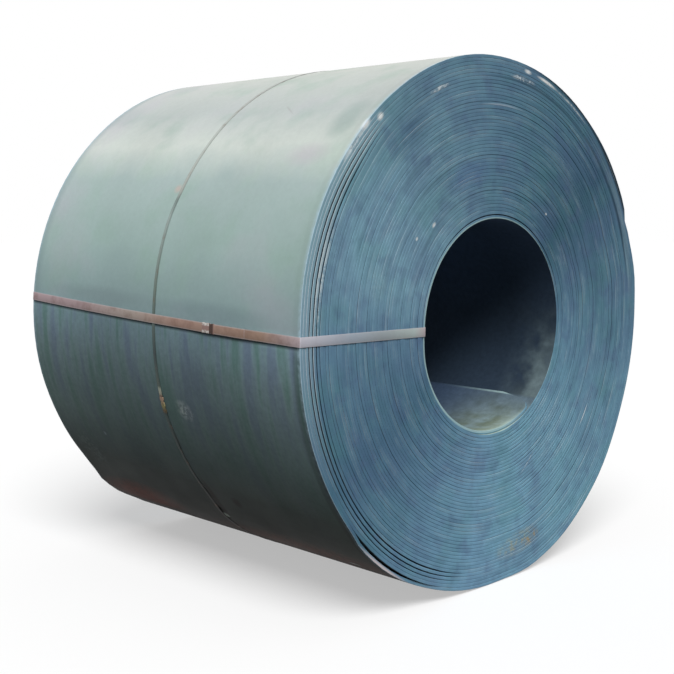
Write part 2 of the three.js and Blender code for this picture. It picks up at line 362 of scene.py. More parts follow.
# Marks of handling and weather: where on the coil (along, radius, angle), how far they reach along the
# axis, outwards and round it, in mm, how far they lean, their colour, their strength and how broken they are.
faceMarks = [
    ((775, 962, 45.4), (20, 17, 32), 0, "#f7faf9", 1, 0.2),  # where the loose wraps close up
    ((775, 936, 49.5), (20, 14, 20), 0, "#eef4f4", 1, 0.2),
    ((775, 957, 40.5), (20, 13, 95), 0, "#dce7ea", 0.8, 0.75),
    ((775, 880, 68.9), (20, 9, 60), 0, "#dfe8ea", 0.8, 0.8),  # chafed patches under the outer wraps
    ((775, 898, 99.5), (20, 12, 80), 0, "#d8e2e6", 0.9, 0.85),
    ((775, 931, 101), (20, 9, 26), 0, "#eef3f4", 1, 0.3),
    ((775, 933, 108.5), (20, 8, 72), 0, "#f4f6f4", 1, 0.4),
    ((775, 932, 119), (20, 6, 150), 0, "#cfd9d8", 0.7, 0.7),
    ((775, 966, 307), (60, 10, 170), 0, "#d3cacd", 1, 0.2),  # the rubbed edge of the outermost wrap
    ((775, 917, 155), (20, 24, 480), 0, "#7f9aa6", 0.4, 0.4),  # and where dirt lies along its joints
    ((775, 885, 108), (20, 8, 420), 0, "#27404f", 0.6, 0.2),
    ((775, 890, 138), (20, 9, 260), 0, "#1f3646", 0.6, 0.2),
    ((775, 897, 156), (20, 11, 300), 0, "#1f3646", 0.75, 0.2),
    # darker along the face's outer edge, from about 100 to 165 degrees round
    ((775, 950, 119), (20, 8, 360), 0, "#15242c", 0.9, 0.1),
    ((775, 949, 144), (20, 13, 330), 0, "#0f1c24", 0.9, 0.1),
    ((775, 787, 92), (20, 5, 150), 0, "#b9c9d6", 0.5, 0.3),
    ((775, 535, 36.8), (20, 7, 9), 0, "#e3eaec", 1, 0.2),
    ((775, 501, 46.9), (20, 8, 14), 0, "#e3eaec", 1, 0.4),
    ((775, 503, 127.3), (20, 6, 7), 0, "#e3eaec", 0.9, 0.2),
    ((775, 713, 214.3), (20, 4, 60), 0, "#d5dfe4", 0.8, 0.3),  # a scratch
    ((775, 577, 248), (20, 3, 70), 14, "#c5d4dc", 0.6, 0.3),
    ((775, 851, 259), (20, 50, 150), 0, "#a2a791", 0.75, 0.85),  # weeping rust
    ((775, 868, 254), (20, 28, 70), 0, "#b09a6c", 0.8, 0.85),
    ((775, 891, 12), (20, 10, 250), 0, "#cfdee2", 0.8, 0.75),  # rubbed edges beside the widest gap
    ((775, 906, 14), (20, 8, 230), 0, "#cad9dd", 0.7, 0.6),
    ((775, 642, 15.9), (20, 45, 80), 0, "#8fb0bd", 0.5, 0.7),
    ((775, 812, 55), (20, 85, 130), 0, "#385575", 0.4, 0.4),  # a thin film of oil
    ((775, 560, 75), (20, 60, 170), 0, "#4a5f93", 0.35, 0.5),
]
barrelMarks = [
    ((-520, 965, -50), (300, 60, 110), 0, "#4f271e", 0.85, 0.6),  # rust where it sweats against the ground
    ((330, 965, -55), (520, 60, 100), 0, "#4a332c", 0.75, 0.7),
    ((770, 962, -29), (12, 30, 400), 0, "#0a1014", 0.85, 0),  # darker along the near edge
    ((55, 963, -41), (26, 50, 130), 0, "#0c0906", 1, 0.05),  # painted shade beside the girth strap, ending in a pale spot
    ((52, 963, -44.6), (32, 50, 44), 0, "#070504", 1, 0.05),
    ((41, 963, -47.4), (24, 50, 17), 0, "#b3c0b6", 1, 0.1),
    ((188, 963, -40.9), (30, 50, 34), 20, "#0e0c0a", 1, 0.2),
    ((34, 960, -23.5), (9, 20, 60), -8, "#4d4435", 0.6, 0.5),  # rust run from the seal
    ((12, 960, 30.5), (26, 20, 22), 0, "#cdb5ac", 0.6, 0.2),
    ((146, 960, -16.6), (54, 30, 40), 30, "#97a4a1", 0.9, 0.75),  # chafe
    ((-462, 960, -27.9), (12, 20, 12), 0, "#7f8c90", 0.7, 0.6),
    ((-640, 962, -34), (90, 40, 120), 0, "#54605f", 0.5, 0.85),
    ((670, 960, 48), (80, 20, 110), 12, "#93a7a3", 0.55, 0.5),  # rain marks
    ((600, 960, 38), (120, 20, 60), 0, "#bdb3c0", 0.4, 0.5),
    ((330, 960, 4.6), (360, 20, 48), 2, "#75878f", 0.35, 0),  # painted shade: a bluish band just above the strap
    ((-300, 960, 6.2), (420, 20, 40), 2, "#7b8a90", 0.3, 0),
    ((596, 968, -56.3), (34, 40, 12), 0, "#aab3b2", 0.9, 0.6),
    ((331, 960, 52.1), (60, 20, 5), 35, "#a7a9a8", 0.5, 0.5),
    ((773, 960, 45.6), (16, 20, 34), 0, "#f7faf9", 1, 0.3),
]


# Mixes a mark into a skin colour, with its own grain from the noise. unrolled is how far a point lies along
# the axis, out from it and round it on the barrel's radius, so that marks follow the laps.
def addMark(add, unrolled, noise, skin, mark, onEnd):
    (along, radius, angle), (reach, outReach, roundReach), lean, code, strength, broken = mark
    angle = math.radians((angle + 180) % 360 - 180)
    lie = {
        "Vector": unrolled,
        "Location": (along * mm, radius * mm, angle * barrelRadius),
        "Rotation": (-math.radians(lean), 0, 0) if onEnd else (0, math.radians(lean), 0),
        "Scale": (reach * mm, outReach * mm, roundReach * barrelRadius / radius),
    }
    spot = add("Mapping", lie, vector_type="TEXTURE")
    away = add("VectorMath", [spot], operation="LENGTH").outputs["Value"]
    within = add("MapRange", [away, 1, 0.35])
    grain = add("MapRange", [noise, 0.2 + 0.35 * broken, 0.2 + 0.42 * broken, 1 - broken])
    amount = add("Math", [within, grain], operation="MULTIPLY")
    amount = add("Math", [amount, strength], operation="MULTIPLY")
    return add("Mix", {0: amount, 6: skin, 7: code}, data_type="RGBA")


# A pair of places in mm, in metres.
def span(entry):
    return [place * mm for place in scale[entry]]


def fillRamp(node, stops, low, high):
    ramp = node.color_ramp.elements
    for stop, (position, code) in enumerate(stops):
        element = ramp[stop] if stop < 2 else ramp.new(1)
        element.position = (position - low) / (high - low)
        element.color = colour(code)


def finishStrip(piece):
    # Hot-rolled mill scale: a thin blue-grey oxide skin, satin rather than bright, dusty where it faces up,
    # with light and shade painted in by tilt.
    material, add = newMaterial("hotRolledMillScale")
    length = strip["turns"] * math.pi * (strip["boreRadius"] + barrelRadius)
    coords = add("TexCoord").outputs
    x, y, z = add("SeparateXYZ", [coords["Object"]]).outputs
    height = add("Math", [z, axisHeight], operation="SUBTRACT")
    spoke = add("CombineXYZ", {"Y": y, "Z": height})
    radius = add("VectorMath", [spoke], operation="LENGTH").outputs["Value"]
    outward = add("VectorMath", [spoke], operation="NORMALIZE")
    rise = add("SeparateXYZ", [outward])
    tilt = add("Math", [rise.outputs["Z"]], operation="ARCSINE")
    tilt = add("Math", [tilt], operation="DEGREES")
    front = add("Math", [rise.outputs["Y"], -1], operation="MULTIPLY")
    angle = add("Math", [rise.outputs["Z"], front], operation="ARCTAN2")
    around = add("Math", [angle, barrelRadius], operation="MULTIPLY")
    unrolled = add("CombineXYZ", {"X": x, "Y": radius, "Z": around})
    angle = add("Math", [angle], operation="DEGREES")
    normal = add("NewGeometry").outputs["Normal"]
    facing = add("SeparateXYZ", [normal])
    endOn = add("Math", [facing.outputs["X"]], operation="ABSOLUTE")
    radialOn = add("VectorMath", [normal, outward], operation="DOT_PRODUCT").outputs["Value"]
    radialOn = add("Math", [radialOn], operation="ABSOLUTE")
    isFace = add("MapRange", [endOn, 0.2, 0.5])
    isBore = add("MapRange", [radius, *span("boreWithin")])
    flatness = add("Math", [endOn, radialOn], operation="MAXIMUM")
    isCorner = add("MapRange", [flatness, 0.97, 0.85])

    # how far along the strip a point is, and how far in from its edges, from the strip's own layout
    layout = add("SeparateXYZ", [coords["UV"]])
    perLayout = 2 * math.pi * strip["boreRadius"] * strip["turns"]  # right at the inner end
    fromEnd = add("Math", [layout.outputs["X"], perLayout], operation="MULTIPLY")
    acrossStrip = add("Math", [layout.outputs["Y"], 0.5], operation="SUBTRACT")
    acrossStrip = add("Math", [acrossStrip], operation="ABSOLUTE")
    fromEdge = add("Math", [acrossStrip, -2 * halfWidth, halfWidth], operation="MULTIPLY_ADD")

    # patterns that follow the strip: streaks along it, and tones that change from lap to lap
    perStrip = (length / scale["streakLength"], 2 * halfWidth / scale["streakWidth"], 1)
    alongStrip = add("Mapping", {"Vector": coords["UV"], "Scale": perStrip})
    streaks = add("TexNoise", {"Vector": alongStrip, "Scale": 1, "Detail": 3}, noise_dimensions="2D")
    perLap = (length / scale["lapPatch"], 0, 1)
    alongLap = add("Mapping", {"Vector": coords["UV"], "Scale": perLap})
    lapNoise = {"Vector": alongLap, "Scale": 1, "Detail": 5, "Roughness": 0.6}
    lapTone = add("TexNoise", lapNoise, noise_dimensions="2D")
    broad = add("TexNoise", {"Vector": coords["Object"], "Scale": 1 / scale["broadPatch"], "Detail": 4})
    blotches = add("TexNoise", {"Vector": coords["Object"], "Scale": 1 / scale["blotch"], "Detail": 3})
    fine = {"Vector": coords["Object"], "Scale": 1 / scale["speck"], "Detail": 4, "Roughness": 0.7}
    specks = add("TexNoise", fine)

    # barrel: the colour goes by tilt, holding dust and painted light and shade, with its bounds drawn out
    # into streaks
    middle, slope, curve = scale["strapLine"]
    strapLine = add("Math", [x, curve, slope], operation="MULTIPLY_ADD")
    strapLine = add("Math", [x, strapLine, middle], operation="MULTIPLY_ADD")
    fromLine = add("Math", [tilt, strapLine], operation="SUBTRACT")
    ragged = add("Math", [streaks, 0.5], operation="SUBTRACT")
    ragged = add("Math", [ragged, scale["streaksShift"], fromLine], operation="MULTIPLY_ADD")
    patchy = add("Math", [blotches, 0.5], operation="SUBTRACT")
    patchy = add("Math", [patchy, scale["blotchesShift"], ragged], operation="MULTIPLY_ADD")
    # the step stays sharp along the strap, and is washed out on the other side of the coil
    sharp = add("MapRange", [fromLine, 3, 12])
    bound = add("Mix", {0: sharp, 2: fromLine, 3: patchy}).outputs[0]
    isBack = add("MapRange", [y, *span("backFrom")])
    washed = add("Math", [broad, 0.5], operation="SUBTRACT")
    washed = add("Math", [washed, scale["washShift"], patchy], operation="MULTIPLY_ADD")
    bound = add("Mix", {0: isBack, 2: bound, 3: washed})
    rampPlace = add("MapRange", [bound.outputs[0], -90, 90])
    barrel = add("ValToRGB", [rampPlace])
    fillRamp(barrel, scale["barrel"], -90, 90)
    # faint drifts of green and violet in the scale and the dust
    above = add("MapRange", [fromLine, 0, 2])
    for noise, low, tint in ((blotches, 0.5, "dustGreen"), (broad, 0.52, "dustViolet")):
        drift = add("MapRange", [noise, low, 0.7, 0, 0.3])
        drift = add("Math", [drift, above], operation="MULTIPLY")
        barrel = add("Mix", {0: drift, 6: barrel, 7: scale[tint]}, data_type="RGBA")
    for mark in barrelMarks:
        barrel = addMark(add, unrolled, specks, barrel, mark, False)
    # stains run down the bare scale below the strap, and the strap's shadow is painted in a dark line under
    # it
    below = add("MapRange", [fromLine, 0.3, -0.3])
    fading = add("MapRange", [fromLine, -44, -6, 0.15])
    belowOnly = add("Math", [below, fading], operation="MULTIPLY")
    perStain = (length / scale["stainLength"], 2 * halfWidth / scale["stainWidth"], 1)
    stainPlace = add("Mapping", {"Vector": coords["UV"], "Scale": perStain})
    stains = add("TexNoise", {"Vector": stainPlace, "Scale": 1, "Detail": 4}, noise_dimensions="2D")
    for tint, low, high in (("greenStain", 0.5, 0.68), ("violetStain", 0.5, 0.32)):
        stained = add("MapRange", [stains, low, high])
        stained = add("Math", [stained, belowOnly], operation="MULTIPLY")
        barrel = add("Mix", {0: stained, 6: barrel, 7: scale[tint]}, data_type="RGBA", blend_type="MULTIPLY")
    # painted shadow: a dark line along the eye strap's lower edge
    shade = add("MapRange", [fromLine, -1.75, -1.2, 0, 0.85])
    frontOnly = add("MapRange", [isBack, 0, 1, 1, 0])
    for limit in (below, frontOnly):
        shade = add("Math", [shade, limit], operation="MULTIPLY")
    barrel = add("Mix", {0: shade, 6: barrel, 7: scale["strapShade"]}, data_type="RGBA")
    # the scale shows lighter towards both ends, and less dust lies at the far edge
    nearEnd = add("MapRange", [x, *span("nearLighter"), 1, 1.35])
    farEnd = add("MapRange", [x, *span("farLighter"), 1, 1.15])
    bothEnds = add("Math", [nearEnd, farEnd], operation="MULTIPLY")
    lighter = add("VectorMath", {0: barrel, "Scale": bothEnds}, operation="SCALE")
    barrel = add("Mix", {0: above, 6: lighter, 7: barrel}, data_type="RGBA")
    bare = add("MapRange", [x, *span("farBare"), 0, 0.5])
    bare = add("Math", [bare, above], operation="MULTIPLY")
    barrel = add("Mix", {0: bare, 6: barrel, 7: scale["farEdge"]}, data_type="RGBA")
    # beside the near edge the outermost wrap is darker, plainest under the strap
    rim = add("MapRange", [x, *span("nearDarker")])
    rimBelow = add("MapRange", [fromLine, 0, -3, 0.06, 0.42])
    rim = add("Math", [rim, rimBelow], operation="MULTIPLY")
    barrel = add("Mix", {0: rim, 6: barrel, 7: scale["nearBand"]}, data_type="RGBA", blend_type="MULTIPLY")
    # a pale broken burr along the edge of the outermost wrap, and bare dark scale between the wraps
    burr = add("MapRange", [fromEdge, *span("burrWithin")])
    burrGrain = add("MapRange", [specks, 0.3, 0.65, 0.15, 0.6])
    burrAbove = add("MapRange", [fromLine, -30, 2, 0.35])
    for limit in (burrGrain, burrAbove):
        burr = add("Math", [burr, limit], operation="MULTIPLY")
    barrel = add("Mix", {0: burr, 6: barrel, 7: scale["rimEdge"]}, data_type="RGBA")
    isOuter = add("MapRange", [radius, *span("outerWrapFrom")])
    barrel = add("Mix", {0: isOuter, 6: scale["betweenWraps"], 7: barrel}, data_type="RGBA")

    # ends: paler and deeper areas over many laps, and each lap's edge with its own changes of tone
    rampPlace = add("MapRange", [angle, -180, 180])
    face = add("ValToRGB", [rampPlace])
    fillRamp(face, scale["face"], -180, 180)
    patches = add("TexNoise", {"Vector": coords["Object"], "Scale": 1 / scale["patch"], "Detail": 2})
    for noise, low, high, most, tint in (
        (blotches, 0.5, 0.7, 0.27, "faceGreen"),
        (blotches, 0.5, 0.3, 0.27, "faceViolet"),
        (patches, 0.5, 0.7, 0.3, "faceViolet"),
        (lapTone, 0.5, 0.3, 0.26, "faceDeep"),
        (lapTone, 0.52, 0.75, 0.22, "facePale"),
    ):
        drift = add("MapRange", [noise, low, high, 0, most])
        face = add("Mix", {0: drift, 6: face, 7: scale[tint]}, data_type="RGBA")
    looseWraps = add("MapRange", [radius, *span("looseWrapsFrom")])
    looseSide = add("MapRange", [angle, 52, 44, 0, 0.5])
    upSide = add("MapRange", [angle, -30, 6])
    for limit in (looseSide, upSide):
        looseWraps = add("Math", [looseWraps, limit], operation="MULTIPLY")
    face = add("Mix", {0: looseWraps, 6: face, 7: scale["facePale"]}, data_type="RGBA")
    for mark in faceMarks:
        face = addMark(add, unrolled, specks, face, mark, True)

    # bore: dark, with dust and painted light where it faces up near the mouth, and a thin film of dust up the
    # sides
    fromMiddle = add("Math", [x], operation="ABSOLUTE")
    nearMouth = add("MapRange", [fromMiddle, *span("mouthFrom")], interpolation_type="SMOOTHSTEP")
    atMouth = add("MapRange", [fromMiddle, *span("farWallFrom")], interpolation_type="SMOOTHSTEP")
    # the wall opposite, down to the edge of the strip's inner end, keeps its dust and painted light at the
    # mouth
    fromBack = add("Math", [rise.outputs["Z"], rise.outputs["Y"]], operation="ARCTAN2")
    fromBack = add("Math", [fromBack], operation="DEGREES")
    farWall = add("MapRange", [fromBack, 179 - strip["innerEnd"], 181 - strip["innerEnd"]])
    overhead = add("MapRange", [fromBack, 50, 0])
    farWall = add("Math", [farWall, overhead], operation="MULTIPLY")
    nearMouth = add("Mix", {0: farWall, 2: nearMouth, 3: atMouth}).outputs[0]
    mottled = add("MapRange", [patches, 0.36, 0.62])
    upFacing = add("MapRange", [tilt, -36, -74])
    film = add("MapRange", [tilt, 12, -30, 0, 0.4])
    film = add("Math", [film, mottled], operation="MULTIPLY")
    dustAndLight = add("Math", [upFacing, film], operation="MAXIMUM")
    dustAndLight = add("Math", [dustAndLight, nearMouth], operation="MULTIPLY")
    olive = add("Mix", {0: mottled, 6: scale["boreOlive"], 7: scale["boreDustAndLight"]}, data_type="RGBA")
    bare = add("Mix", {0: farWall, 6: scale["bore"], 7: scale["boreWall"]}, data_type="RGBA")
    # painted light: deeper in, the bare scale is made lighter, to make up for the shade that falls there
    deeper = add("MapRange", [fromMiddle, *span("paintedLightDeeper"), 1, 1.9])
    bare = add("VectorMath", {0: bare, "Scale": deeper}, operation="SCALE")
    bore = add("Mix", {0: dustAndLight, 6: bare, 7: olive}, data_type="RGBA")
    # dust and painted light in a band just inside the mouth, low on the far wall
    mouthDustAndLight = add("MapRange", [fromMiddle, *span("mouthDustAndLightFrom")], interpolation_type="SMOOTHSTEP")
    lowDown = add("MapRange", [fromBack, 0, -45, 0, 0.6])
    for limit in (farWall, lowDown):
        mouthDustAndLight = add("Math", [mouthDustAndLight, limit], operation="MULTIPLY")
    bore = add("Mix", {0: mouthDustAndLight, 6: bore, 7: scale["boreMouth"]}, data_type="RGBA")
    lip = add("MapRange", [fromEdge, *span("lipWithin"), 0, 0.7])
    # painted highlight along the edge of the strip's inner end near the mouth
    atEnd = add("MapRange", [fromEnd, *span("endWithin"), 0, 0.8])
    atEnd = add("Math", [atEnd, nearMouth], operation="MULTIPLY")
    frontHalf = add("MapRange", [front, -0.6, -0.2])
    for limit in (dustAndLight, frontHalf):
        lip = add("Math", [lip, limit], operation="MULTIPLY")
    lip = add("Math", [lip, atEnd], operation="MAXIMUM")
    bore = add("Mix", {0: lip, 6: bore, 7: scale["boreLip"]}, data_type="RGBA")
    sill = add("MapRange", [fromEdge, *span("sillWithin"), 0, 0.5])
    lowest = add("MapRange", [tilt, -60, -76])
    sill = add("Math", [sill, lowest], operation="MULTIPLY")
    bore = add("Mix", {0: sill, 6: bore, 7: scale["boreSill"]}, data_type="RGBA")

    skin = add("Mix", {0: isBore, 6: barrel, 7: bore}, data_type="RGBA")
    skin = add("Mix", {0: isFace, 6: skin, 7: face}, data_type="RGBA")

    # corners rubbed bright, in broken stretches, most of all on the loose wraps and in the eye
    innermost = add("MapRange", [radius, *span("innermostWithin"), 0, 0.7])
    overTop = add("MapRange", [angle, 160, 142])
    underneath = add("MapRange", [angle, -120, -105])
    rubbed = add("MapRange", [lapTone, 0.5, 0.68, 0, 0.35])
    exposed = add("Math", [looseWraps, 1.4], operation="MULTIPLY")
    rubbed = add("Math", [rubbed, exposed], operation="ADD")
    outermost = add("MapRange", [radius, *span("outerCornerFrom")])
    frontSide = add("MapRange", [front, 0.5, 0.7])
    for amount, limits, tint in (
        (innermost, (overTop, underneath, isFace), "boreLip"),
        (rubbed, (isCorner,), "wornEdge"),
        (outermost, (frontSide, isCorner), "rimEdge"),
    ):
        for limit in limits:
            amount = add("Math", [amount, limit], operation="MULTIPLY")
        skin = add("Mix", {0: amount, 6: skin, 7: scale[tint]}, data_type="RGBA")

    # the tone wanders a little everywhere, and grain shows most where no dust evens it out
    tone = add("MapRange", [broad, 0.3, 0.7, 0.93, 1.07])
    dusted = add("MapRange", [above, 0, 1, 0.5, 0.16])
    grain = add("Mix", {0: isBore, 2: dusted, 3: 0.7}).outputs[0]
    grain = add("Mix", {0: isFace, 2: grain, 3: 0.2}).outputs[0]
    speck = add("Math", [specks, 0.5], operation="SUBTRACT")
    grain = add("Math", [speck, grain, 1], operation="MULTIPLY_ADD")
    tone = add("Math", [tone, grain], operation="MULTIPLY")
    skin = add("VectorMath", {0: skin, "Scale": tone}, operation="SCALE")

    # dirt and bent burrs fill the joints between the laps, most of all up on the +Y side
    faceward = add("CombineXYZ", {"X": add("Math", [facing], operation="SIGN")})
    filled = add("VectorMath", [outward, scale["filledSide"]], operation="DOT_PRODUCT")
    filled = add("MapRange", [filled.outputs["Value"], 0, 0.6, 0, 0.7])
    filled = add("Math", [filled, isFace], operation="MULTIPLY")
    eased = add("VectorMath", [faceward, filled, normal], operation="MULTIPLY_ADD")
    eased = add("VectorMath", [eased], operation="NORMALIZE")

    grit = add("TexNoise", {"Vector": coords["Object"], "Scale": 1 / scale["grit"], "Detail": 2})
    bump = add("Bump", {"Height": grit, "Strength": 0.15, "Distance": scale["gritHeight"], "Normal": eased})
    shine = add("MapRange", [blotches, 0, 1, 0.5, 0.7])
    shader = {"Base Color": skin, "Roughness": shine, "Specular IOR Level": 0.07, "Normal": bump}
    shader = add("BsdfPrincipled", shader)
    add("OutputMaterial", {"Surface": shader})
    giveMaterial(piece, material)
    print("strip finished")


finishStrip(coiledStrip)
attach(coiledStrip, "root")
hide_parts("coil")


# A path is a list of places: the middle of the band, the direction across it and the direction outwards.
def bandPlace(along, radius, angle, lean, acrossX):
    turn = math.radians(angle)
    radial = Vector((0, -math.cos(turn), math.sin(turn)))
    rounding = Vector((0, math.sin(turn), math.cos(turn)))
    out = radial * math.cos(math.radians(lean)) + Vector((math.sin(math.radians(lean)), 0, 0))
    across = Vector((1, 0, 0)) if acrossX else rounding
    return [Vector((along, 0, axisHeight)) + radial * radius, across, out]


# sectionOf(row) gives the points of the band's section at that row, as (across, out) pairs.
def layAlong(name, path, sectionOf, thickness, rounding):
    sections = [sectionOf(row) for row in range(len(path))]

    def placeOf(rows, columns):
        points = []
        for row, column in zip(rows, columns):
            middle, across, out = path[row]
            u, v = sections[row][column]
            points.append(middle + across * u + out * v)
        return np.array(points)

    piece = layBand(name, len(path), len(sections[0]), placeOf)
    applyModifier(piece, "SOLIDIFY", thickness=thickness, offset=0)
    roundCorners(piece, rounding)
    bpy.ops.object.shade_smooth_by_angle(angle=math.radians(35))
    return piece


def layStrap(name, path, size):
    flat = [(-size["width"] / 2, 0), (size["width"] / 2, 0)]
    return layAlong(name, path, lambda row: flat, size["thickness"], size["rounding"])


eyeStrapSize = {
    "width": 32 * mm,
    "thickness": 0.9 * mm,
    "clearance": 0.3 * mm,
    "bend": 3 * mm,
    "nearAngle": 1,
    "farAngle": 4.7,
    "sag": 6 * mm,
    "bow": 5 * mm,
    "bowAt": 450 * mm,
    "bowReach": 320 * mm,
    "tailEnd": 520 * mm,
    "sealAt": 337 * mm,
    "sealLength": 62 * mm,
    "layerGap": 0.2 * mm,
    "underEnd": 20 * mm,  # how far before the seal's middle the lower end stops
    "upperFrom": 60 * mm,  # and from where the upper layer lies on it
    "singleTo": 110 * mm,  # and up to where there is one layer
    "nearBend": 5 * mm,  # the straight runs stop this far from the bends
    "rounding": 0.2 * mm,
}

girthStrapSize = {
    "width": 16 * mm,
    "thickness": 0.9 * mm,
    "clearance": 0.3 * mm,
    "lowerAt": 29 * mm,  # along X, up to the jog
    "upperAt": 38 * mm,
    "jog": (23, 31),  # degrees over which it shifts from one line to the other, on the way up
    "jogBack": (80, 200),  # and slowly back, over the top and down behind
    "sealAngle": -16.16,
    "sealLength": 62 * mm,
    "sealLift": 1.2 * mm,  # room for the seal's folded edges
    "layerGap": 0.3 * mm,
    "tailAngle": -27,
    "steps": 160,
    "rounding": 0.2 * mm,
}


def eyeStrapOuterRun(start, stop, steps, layer):
    size = eyeStrapSize
    places = []
    for along in np.linspace(start, stop, steps):
        share = (along + halfWidth) / (2 * halfWidth)
        sag = math.degrees(size["sag"] / barrelRadius) * 4 * share * (1 - share)
        angle = size["farAngle"] + (size["nearAngle"] - size["farAngle"]) * share - sag
        reach = (along - size["bowAt"]) / size["bowReach"]
        bow = size["bow"] * (1 - reach * reach) ** 2 if abs(reach) < 1 else 0
        crossing = girthStrapSize["lowerAt"]
        toEdge = (along - crossing) / (math.copysign(halfWidth, along) - crossing)
        overGirthStrap = (girthStrapSize["thickness"] + girthStrapSize["clearance"]) * (1 - max(0, toEdge))
        standOff = size["clearance"] + overGirthStrap + max(bow, share * float(bulge(angle, True)))
        standOff += layer * (size["thickness"] + size["layerGap"])
        places.append(bandPlace(along, barrelRadius + standOff + size["thickness"] / 2, angle, 0, False))
    return places


def eyeStrapEnd(side, angle):
    size = eyeStrapSize
    bend = size["bend"] + size["thickness"] / 2
    surface = size["clearance"] + size["thickness"] / 2
    lapInBore = (angle - strip["innerEnd"]) % 360 / 360
    bore = float(windingRadius(np.array([lapInBore]), side > 0)[0]) - size["clearance"]
    boreRun = math.sqrt(bore ** 2 - (size["width"] / 2) ** 2) - size["thickness"] / 2
    bendAlong = halfWidth + surface - bend
    places = []
    outer = barrelRadius + float(bulge(angle, side > 0)) + surface
    for middle, turns in ((outer - bend, range(0, 91, 18)), (boreRun + bend, range(90, 181, 18))):
        for turn in turns:
            along = side * (bendAlong + bend * math.sin(math.radians(turn)))
            radius = middle + bend * math.cos(math.radians(turn))
            places.append(bandPlace(along, radius, angle, side * turn, False))
    return places


def makeEyeStrap():
    size = eyeStrapSize
    straightTo = halfWidth - size["bend"] - size["nearBend"]
    path = eyeStrapOuterRun(size["sealAt"] - size["underEnd"], straightTo, 14, 0)
    path += eyeStrapEnd(1, size["nearAngle"])
    path += reversed(eyeStrapEnd(-1, size["farAngle"]))
    path += eyeStrapOuterRun(-straightTo, size["sealAt"] - size["singleTo"], 30, 0)
    path += eyeStrapOuterRun(size["sealAt"] - size["upperFrom"], size["tailEnd"], 12, 1)
    return layStrap("eyeStrap", path, size)


sealSize = {
    "wall": 0.9 * mm,
    "play": 0.3 * mm,  # between the seal and the strap
    "playAbove": 0.5 * mm,
    "lipShare": 0.3,  # how much of the strap's width each folded edge covers
    "fold": 4 * mm,
    "bites": (0.28, 0.72),  # where the crimping tool bit it, as shares of its length
    "biteReach": 0.07,
    "biteDepth": 2.2 * mm,
    "dentDepth": 0.5 * mm,
    "rows": 25,
    "rounding": 0.25 * mm,
}


# A seal is a sleeve round both layers of strap, pinched in where the crimping tool bit it.
def laySeal(name, path, strap):
    size = sealSize
    inner = strap["width"] / 2 + size["play"] + size["wall"] / 2
    below = -strap["thickness"] / 2 - size["play"] - size["wall"] / 2
    above = 1.5 * strap["thickness"] + size["playAbove"] + size["wall"] / 2
    lip = inner - size["lipShare"] * strap["width"]

    def sectionOf(row):
        share = row / (size["rows"] - 1)
        bite = max(math.exp(-((share - at) / size["biteReach"]) ** 2) for at in size["bites"])
        edge = inner - size["biteDepth"] * bite
        dent = above - size["dentDepth"] * bite
        half = [(lip, below), (edge, below), (edge, dent), (edge - size["fold"], above)]
        return [*half, (0, above), *((-across, out) for across, out in reversed(half))]

    return layAlong(name, path, sectionOf, size["wall"], size["rounding"])


def makeEyeStrapSeal():
    size = eyeStrapSize
    start = size["sealAt"] - size["sealLength"] / 2
    end = size["sealAt"] + size["sealLength"] / 2
    return laySeal("eyeStrapSeal", eyeStrapOuterRun(start, end, sealSize["rows"], 0), size)


def girthPlace(angle, lift):
    size = girthStrapSize
    folded = (angle + 180) % 360 - 180
    (low, high), (backFrom, backAt) = size["jog"], size["jogBack"]
    shifted = float(smooth((folded - low) / (high - low)))
    share = shifted * float(smooth((backAt - folded) / (backAt - backFrom)))
    along = size["lowerAt"] + (size["upperAt"] - size["lowerAt"]) * share
    nearShare = (along + halfWidth) / (2 * halfWidth)
    out = nearShare * float(bulge(angle, True) + standOff(angle, True))
    out += (1 - nearShare) * float(bulge(angle, False) + standOff(angle, False))
    radius = barrelRadius + out + size["clearance"] + size["thickness"] / 2 + lift
    return bandPlace(along, radius, angle, 0, True)


def makeGirthStrap():
    size = girthStrapSize
    layer = size["thickness"] + size["layerGap"]
    lift = size["sealLift"]
    half = math.degrees(size["sealLength"] / 2 / barrelRadius)
    seal = size["sealAngle"]
    path = [girthPlace(seal + half / 2, lift), girthPlace(seal - half, lift), girthPlace(seal - 3 * half, 0)]
    wholeWay = np.linspace(seal - 4 * half, seal + 5 * half - 360, size["steps"])
    path += [girthPlace(angle, 0) for angle in wholeWay]
    path += [girthPlace(seal + 3 * half - 360, layer), girthPlace(seal + half - 360, layer + lift)]
    path += [girthPlace(seal - half - 360, layer + lift), girthPlace(seal - 3 * half - 360, layer)]
    path += [girthPlace(size["tailAngle"] - 360, layer)]
    return layStrap("girthStrap", path, size)


def makeGirthStrapSeal():
    size = girthStrapSize
    half = math.degrees(size["sealLength"] / 2 / barrelRadius)
    angles = np.linspace(size["sealAngle"] - half, size["sealAngle"] + half, sealSize["rows"])
    return laySeal("girthStrapSeal", [girthPlace(angle, size["sealLift"]) for angle in angles], size)


eyeStrapFinish = {
    "barrelEnds": (-776, 776),
    "alongBarrel": [  # by distance along the coil's axis, in mm
        (-770, "#b4a0a4"), (-450, "#ac989a"), (-100, "#aca098"), (150, "#ac9084"), (600, "#a48a7a"),
        (770, "#c0b0b4"),
    ],
    "endReach": (350, 965),
    "overEnd": [  # by distance from the coil's axis, in mm
        (380, "#c2b4b8"), (440, "#b8c6c4"), (570, "#a2acb0"), (740, "#a6b0bc"), (960, "#cac8d2"),
    ],
    "rustSpots": "#6a4a3e",
    "rubbedEdge": "#c7c5c9",
    "spotSize": 55 * mm,
    "pitting": 0.3 * mm,
    "roughness": 0.62,
}

